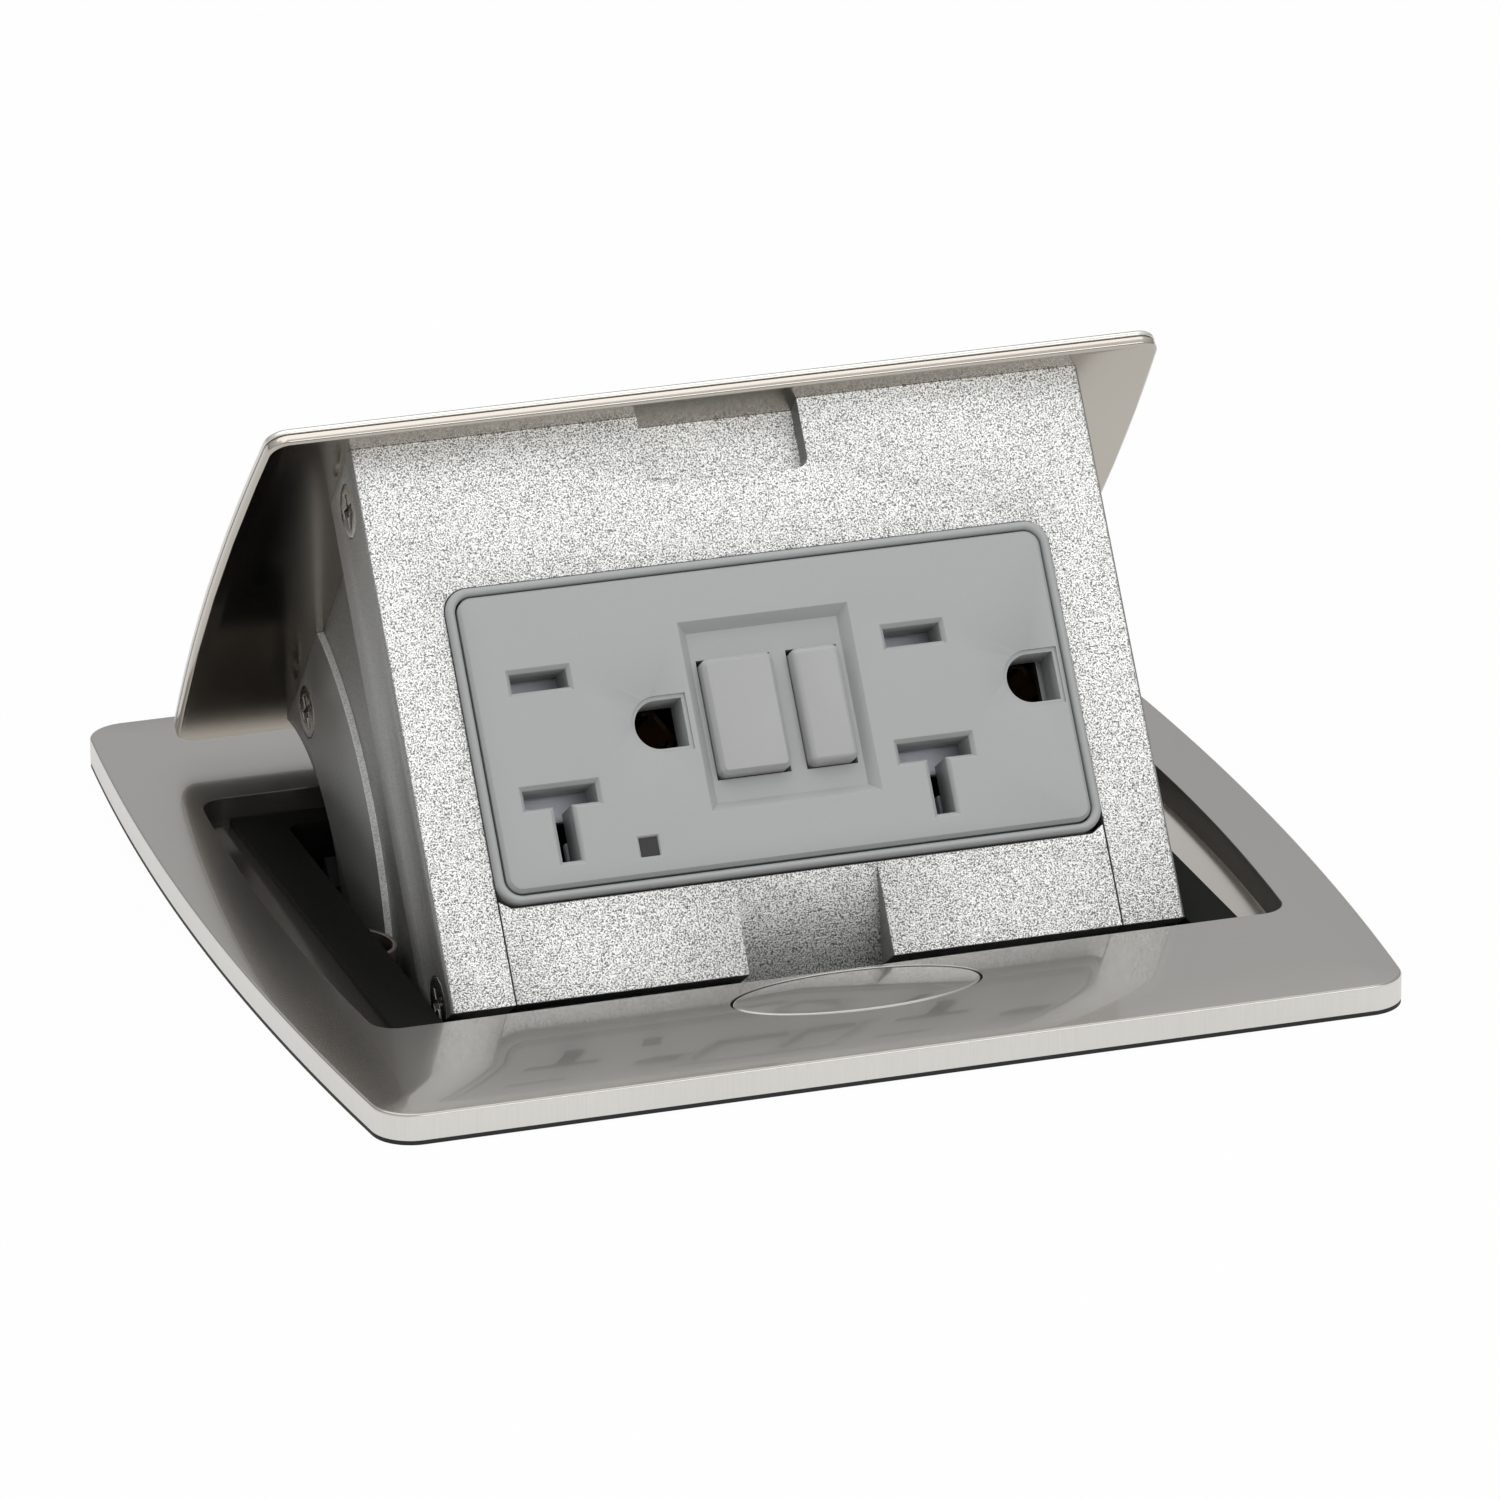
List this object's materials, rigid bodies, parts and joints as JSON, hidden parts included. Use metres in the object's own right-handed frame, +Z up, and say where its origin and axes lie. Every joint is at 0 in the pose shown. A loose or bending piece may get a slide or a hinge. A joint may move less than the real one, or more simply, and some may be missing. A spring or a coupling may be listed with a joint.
{
  "type": "floor socket box",
  "caption": "Pop-up floor socket: a spring-raised carriage with a receptacle under a flush lid, set in a brushed metal flange over a sunken box, released by an oval push button.",
  "frame": {"origin": "centre of the flange, at the underside of the box", "axes": "+X along the hinge, -Y towards the push button, +Z up"},
  "size_m": [0.1208, 0.1208, 0.1297],
  "materials": {
    "brushed_nickel": "brushed satin",
    "polished_steel": "polished with fine brushing",
    "silver_paint": "grained metallic paint",
    "grey_plastic": "moulded, semi-gloss",
    "grey_button": "moulded, semi-gloss",
    "shutter_plastic": "moulded",
    "clear_lens": "clear",
    "black_plastic": "moulded",
    "body_plastic": "moulded",
    "black_rubber": "matt",
    "zinc_steel": "zinc plated",
    "spring_steel": "drawn wire",
    "screw_steel": "plated",
    "contact_brass": "stamped"
  },
  "bodies": {
    "base": {"cover_flange": "brushed_nickel", "floor_gasket": "black_rubber", "floor_box": "zinc_steel", "conduit_plug": "zinc_steel", "throat_liner": "black_plastic", "side_clips": "spring_steel", "hinge_bracket_left": "zinc_steel", "hinge_bracket_right": "zinc_steel", "hinge_shaft": "zinc_steel", "shaft_ring": "spring_steel", "spring_rail": "zinc_steel", "torsion_spring_left": "spring_steel", "torsion_spring_right": "spring_steel", "stop_buffers": "black_rubber", "latch_tray": "black_plastic", "button_springs": "spring_steel", "bolt_springs": "spring_steel", "flange_screws": "screw_steel", "latch_screws": "screw_steel", "bracket_screws": "screw_steel"},
    "carriage": {"lid_skin": "brushed_nickel", "lid_plate": "polished_steel", "carriage_frame": "silver_paint", "side_screws": "screw_steel", "tie_bar": "zinc_steel", "inner_frame": "zinc_steel", "ramp_panel": "silver_paint", "panel_screws": "screw_steel", "receptacle_rim": "grey_plastic", "receptacle_face": "grey_plastic", "receptacle_strap": "zinc_steel", "strap_screws": "screw_steel", "receptacle_body": "body_plastic", "terminals_line": "contact_brass", "terminals_neutral": "screw_steel", "contacts_line": "contact_brass", "contacts_neutral": "contact_brass", "contacts_ground": "contact_brass", "indicator_lens": "clear_lens"},
    "oval_button": {"oval_button": "brushed_nickel"},
    "latch_bolt": {"latch_bolt": "zinc_steel"},
    "reset_button": {"reset_button": "grey_button"},
    "test_button": {"test_button": "grey_button"},
    "shutter_left": {"shutter_left": "shutter_plastic"},
    "shutter_right": {"shutter_right": "shutter_plastic"}
  },
  "joints": [
    {"name": "carriage_hinge", "type": "hinge", "parent": "base", "child": "carriage", "pos_m": [0, 0.0412, 0.0592], "axis": [1, 0, 0], "range_deg": [0, 49], "stiffness_Nm_per_rad": 0.35, "springref_deg": -85.94},
    {"name": "button_press", "type": "slide", "parent": "base", "child": "oval_button", "axis": [0, 0, -1], "range_m": [0, 0.0025], "stiffness_N_per_m": 400, "springref_m": -0.003, "deforming": ["button_springs"]},
    {"name": "bolt_slide", "type": "slide", "parent": "base", "child": "latch_bolt", "axis": [0, -1, 0], "range_m": [0, 0.0025], "stiffness_N_per_m": 300, "springref_m": -0.003, "deforming": ["bolt_springs"]},
    {"name": "reset_press", "type": "slide", "parent": "carriage", "child": "reset_button", "axis": [0, 0.8271, -0.5621], "range_m": [0, 0.001], "stiffness_N_per_m": 600, "springref_m": -0.001},
    {"name": "test_press", "type": "slide", "parent": "carriage", "child": "test_button", "axis": [0, 0.8271, -0.5621], "range_m": [0, 0.001], "stiffness_N_per_m": 600, "springref_m": -0.001},
    {"name": "shutter_left_slide", "type": "slide", "parent": "carriage", "child": "shutter_left", "axis": [0, 0.5621, 0.8271], "range_m": [0, 0.0028], "stiffness_N_per_m": 60, "springref_m": -0.002},
    {"name": "shutter_right_slide", "type": "slide", "parent": "carriage", "child": "shutter_right", "axis": [0, 0.5621, 0.8271], "range_m": [0, 0.0028], "stiffness_N_per_m": 60, "springref_m": -0.002}
  ],
  "couplings": [
    {"joint": "bolt_slide", "follows": "button_press", "ratio": 1}
  ]
}
